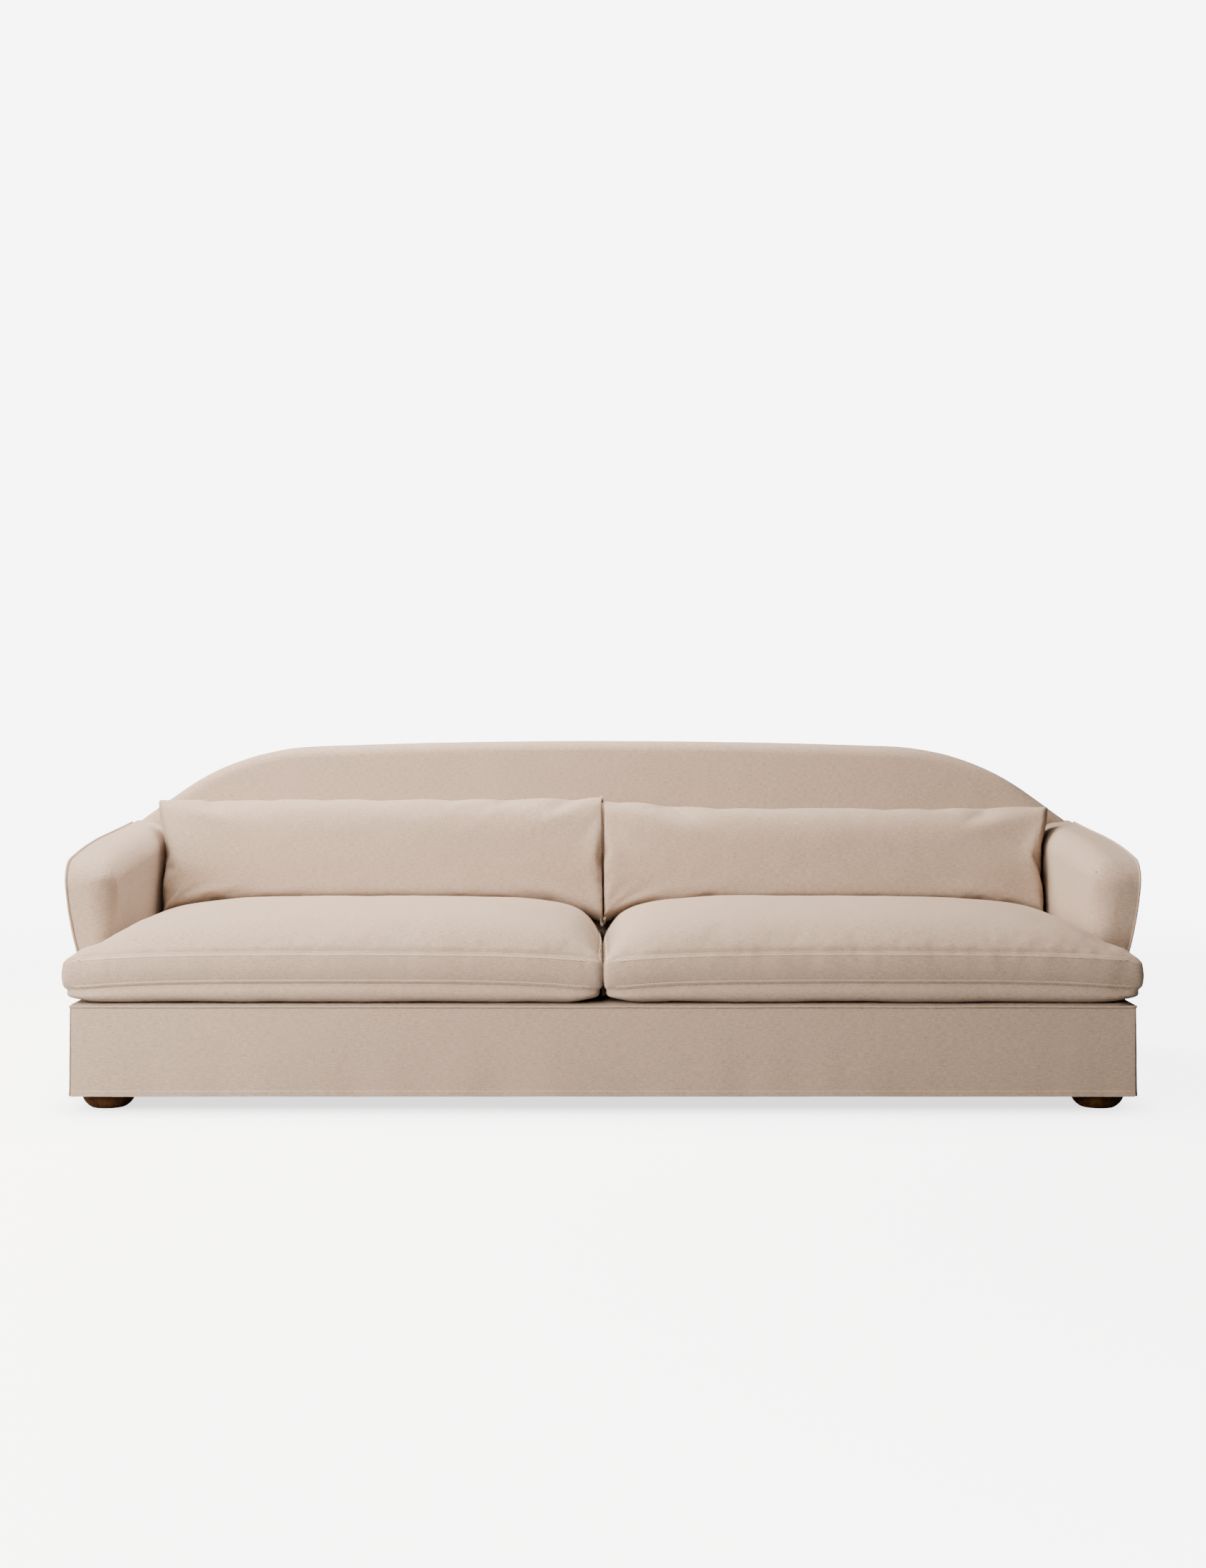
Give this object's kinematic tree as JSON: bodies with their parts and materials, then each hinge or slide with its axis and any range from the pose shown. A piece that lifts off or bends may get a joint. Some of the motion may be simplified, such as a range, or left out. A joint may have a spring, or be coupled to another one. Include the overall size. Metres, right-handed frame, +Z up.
{
  "type": "slipcovered sofa",
  "caption": "Slipcovered sofa with a low arched back, slim arms, T-shaped seat cushions, long lumbar pillows, a hanging skirt and turned bun feet.",
  "frame": {"origin": "the middle of the sofa's footprint, on the floor", "axes": "+X along the sofa, to the right of someone who faces it; -Y towards its front; +Z up"},
  "size_m": [2.5132, 1.0284, 0.829],
  "materials": {
    "linen": "oatmeal linen with a slub",
    "filling": "foam and fibre",
    "lining": "matte black cloth",
    "strip": "hook and loop",
    "zip_tape": "woven tape",
    "frame_wood": "planed hardwood",
    "board": "thin board",
    "dark_wood": "dark walnut, satin",
    "steel": "bare steel",
    "felt": "pressed felt",
    "brass": "dull brass"
  },
  "bodies": {
    "sofa_frame": {"arm_boards": "board", "arm_pad_left": "filling", "arm_pad_right": "filling", "arm_posts": "frame_wood", "arm_top_rails": "frame_wood", "arm_welt_left": "linen", "arm_welt_right": "linen", "back_arch_rail": "frame_wood", "back_board": "board", "back_gussets": "frame_wood", "back_lower_rail": "frame_wood", "back_pad": "filling", "back_uprights": "frame_wood", "back_webbing": "lining", "back_welt": "linen", "base_end_rails": "frame_wood", "base_inner_rails": "frame_wood", "base_long_rails": "frame_wood", "base_welt": "linen", "bun_foot_front_left": "dark_wood", "bun_foot_front_right": "dark_wood", "bun_foot_rear_left": "dark_wood", "bun_foot_rear_right": "dark_wood", "corner_blocks": "frame_wood", "deck_felt": "lining", "deck_pad": "filling", "dust_cover": "lining", "foot_glides": "felt", "hanger_bolts": "steel", "hook_and_loop_strips": "strip", "seat_springs": "steel", "skirt_back": "linen", "skirt_front": "linen", "skirt_left": "linen", "skirt_right": "linen", "slipcover_deck": "linen", "slipcover_inside_arm_left": "linen", "slipcover_inside_arm_right": "linen", "slipcover_inside_back": "linen", "slipcover_outside_arm_left": "linen", "slipcover_outside_arm_right": "linen", "slipcover_outside_back": "linen", "spring_clips": "steel", "tee_nuts": "steel"},
    "seat_cushion_left": {"seat_cushion_cover_left": "linen", "seat_cushion_core_left": "filling", "seat_zip_left": "zip_tape"},
    "lumbar_pillow_left": {"pillow_cover_left": "linen", "pillow_insert_left": "filling", "pillow_zip_left": "zip_tape"},
    "seat_slider_left": {"seat_zip_slider_left": "brass"},
    "pillow_slider_left": {"pillow_zip_slider_left": "brass"},
    "seat_cushion_right": {"seat_cushion_cover_right": "linen", "seat_cushion_core_right": "filling", "seat_zip_right": "zip_tape"},
    "lumbar_pillow_right": {"pillow_cover_right": "linen", "pillow_insert_right": "filling", "pillow_zip_right": "zip_tape"},
    "seat_slider_right": {"seat_zip_slider_right": "brass"},
    "pillow_slider_right": {"pillow_zip_slider_right": "brass"}
  },
  "joints": [
    {"name": "seat_lift_left", "type": "slide", "parent": "sofa_frame", "child": "seat_cushion_left", "axis": [0, 0, 1], "range_m": [0, 0.6]},
    {"name": "pillow_lift_left", "type": "slide", "parent": "seat_cushion_left", "child": "lumbar_pillow_left", "axis": [0, 0, 1], "range_m": [0, 0.48]},
    {"name": "seat_zip_run_left", "type": "slide", "parent": "seat_cushion_left", "child": "seat_slider_left", "axis": [-1, 0, 0], "range_m": [0, 0.87]},
    {"name": "pillow_zip_run_left", "type": "slide", "parent": "lumbar_pillow_left", "child": "pillow_slider_left", "axis": [-1, 0, 0], "range_m": [0, 0.674]},
    {"name": "seat_lift_right", "type": "slide", "parent": "sofa_frame", "child": "seat_cushion_right", "axis": [0, 0, 1], "range_m": [0, 0.6]},
    {"name": "pillow_lift_right", "type": "slide", "parent": "seat_cushion_right", "child": "lumbar_pillow_right", "axis": [0, 0, 1], "range_m": [0, 0.48]},
    {"name": "seat_zip_run_right", "type": "slide", "parent": "seat_cushion_right", "child": "seat_slider_right", "axis": [1, 0, 0], "range_m": [0, 0.87]},
    {"name": "pillow_zip_run_right", "type": "slide", "parent": "lumbar_pillow_right", "child": "pillow_slider_right", "axis": [1, 0, 0], "range_m": [0, 0.674]}
  ]
}
